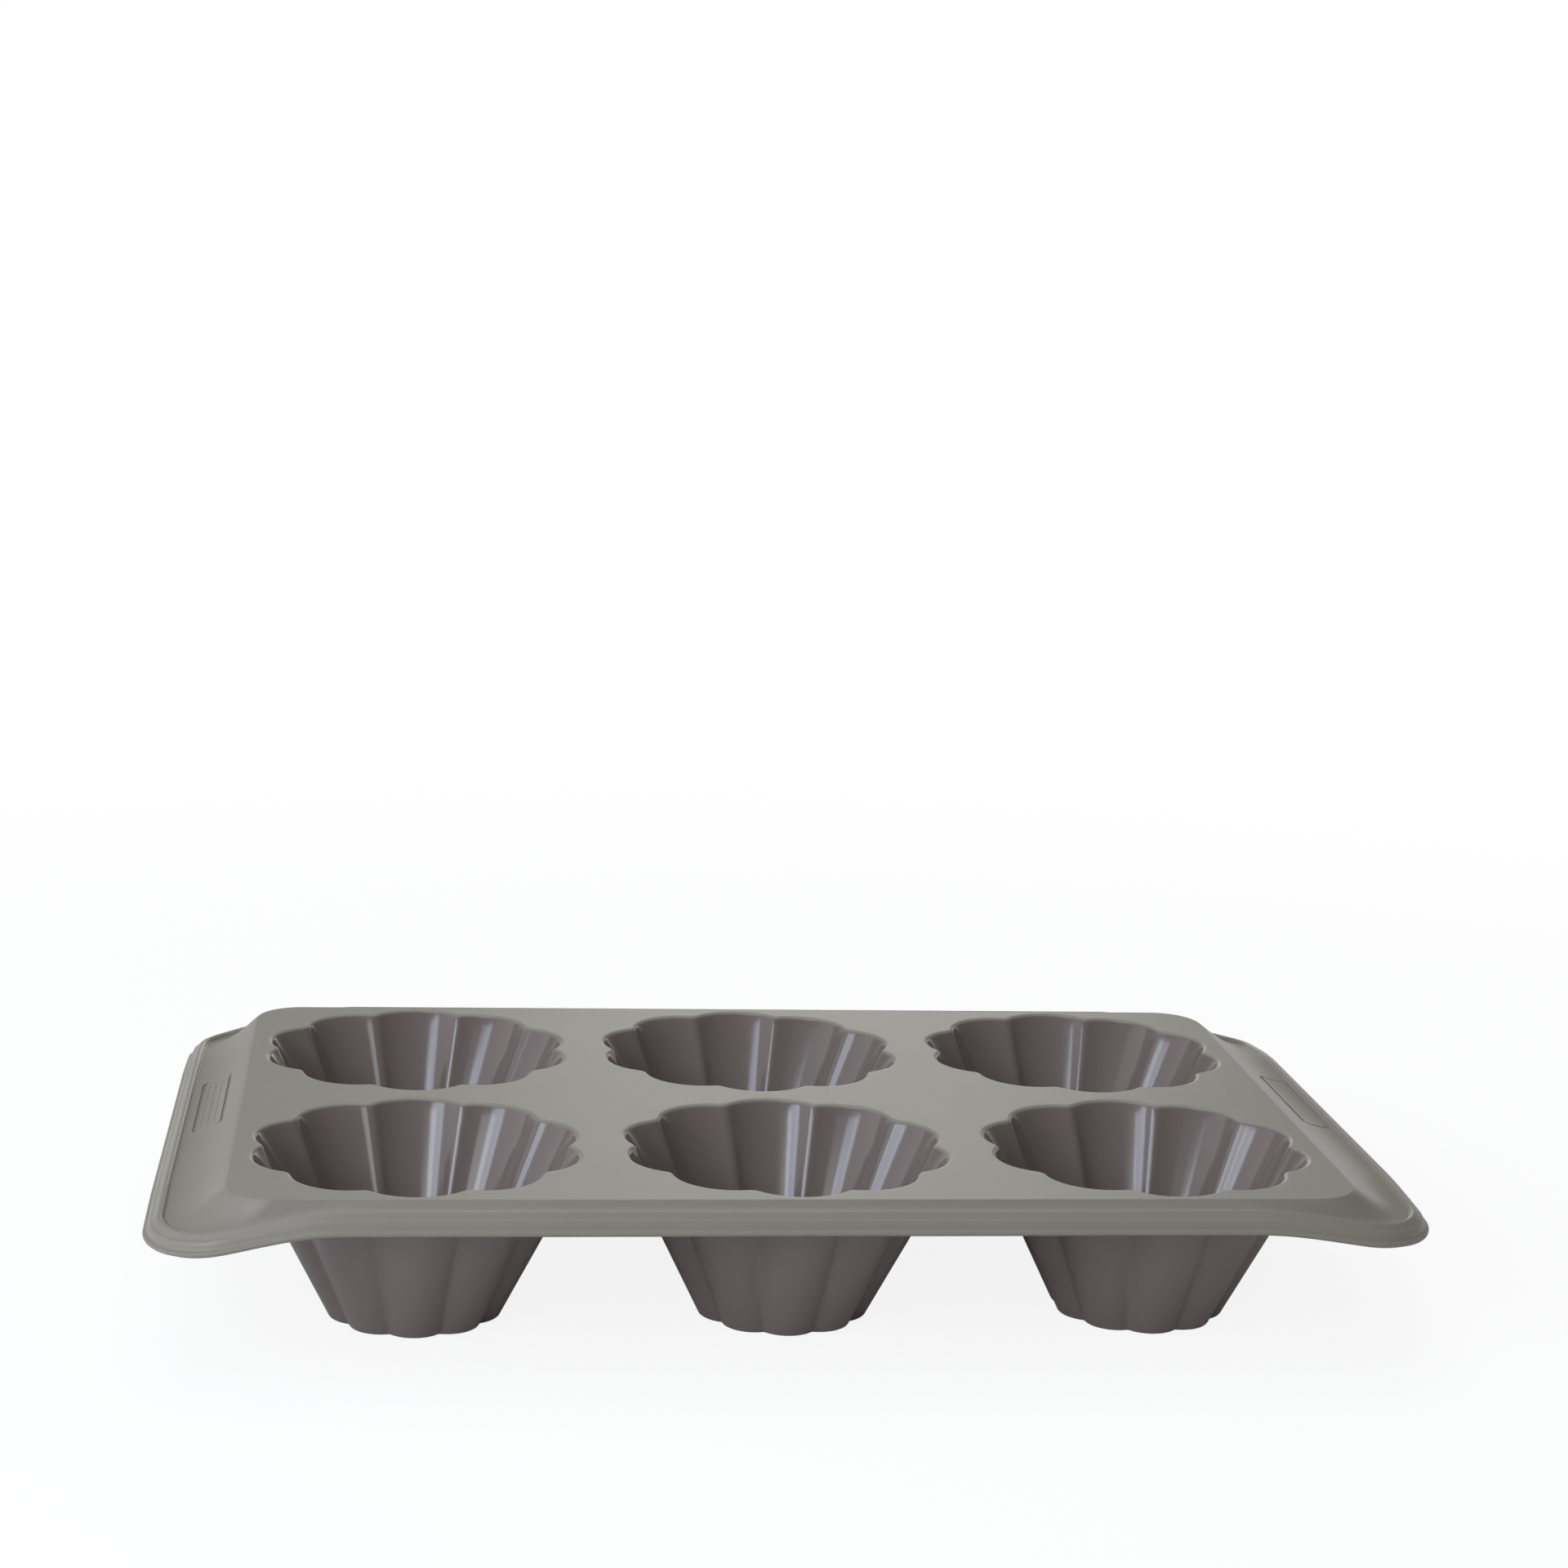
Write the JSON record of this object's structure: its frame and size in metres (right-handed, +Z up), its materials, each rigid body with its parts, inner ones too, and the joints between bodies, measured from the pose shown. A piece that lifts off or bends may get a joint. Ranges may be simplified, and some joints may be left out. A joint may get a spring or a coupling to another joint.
{
  "type": "silicone muffin mould",
  "caption": "Flexible silicone muffin mould: fluted tapered cups hung from a flat deck that ramps down to a beaded, wire-stiffened rim.",
  "frame": {"origin": "under the middle of the mould, on the plane that the cup bases stand on", "axes": "+X along the long side, +Y from the front row of cups to the back row, +Z up out of the cup mouths"},
  "size_m": [0.2934, 0.1844, 0.04],
  "materials": {
    "silicone": "satin",
    "steel": "drawn"
  },
  "bodies": {
    "root": {"deck": "silicone", "rim": "silicone", "cup_front_left": "silicone", "cup_front_middle": "silicone", "cup_front_right": "silicone", "cup_back_left": "silicone", "cup_back_middle": "silicone", "cup_back_right": "silicone", "rim_wire": "steel"}
  },
  "joints": []
}
